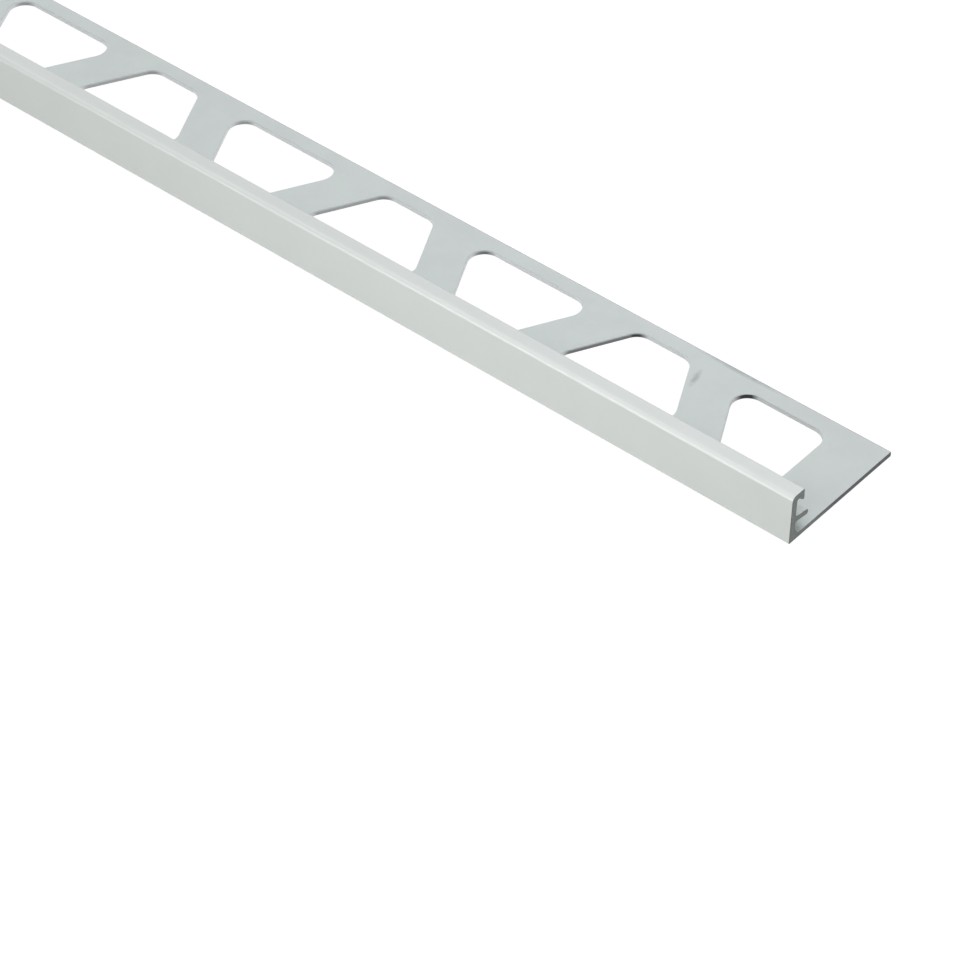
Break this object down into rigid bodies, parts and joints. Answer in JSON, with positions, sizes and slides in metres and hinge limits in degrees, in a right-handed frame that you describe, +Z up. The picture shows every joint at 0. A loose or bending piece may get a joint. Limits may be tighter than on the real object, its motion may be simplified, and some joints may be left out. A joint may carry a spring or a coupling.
{
  "type": "tile edge trim",
  "caption": "Aluminium edge trim for tiles: a visible wall with a hooked lip level with the tile, a joint rib behind it, and a perforated anchoring leg that lies in the adhesive.",
  "frame": {"origin": "centre of the bounding box's underside, on the plane that the anchoring leg lies on", "axes": "+X along the stock towards the end where the punching starts, +Y from the visible wall to the leg's back edge, +Z up from the leg to the lip"},
  "size_m": [1, 0.028, 0.01],
  "materials": {
    "coated_aluminium": "satin"
  },
  "bodies": {
    "root": {"edge_trim": "coated_aluminium"}
  },
  "joints": []
}
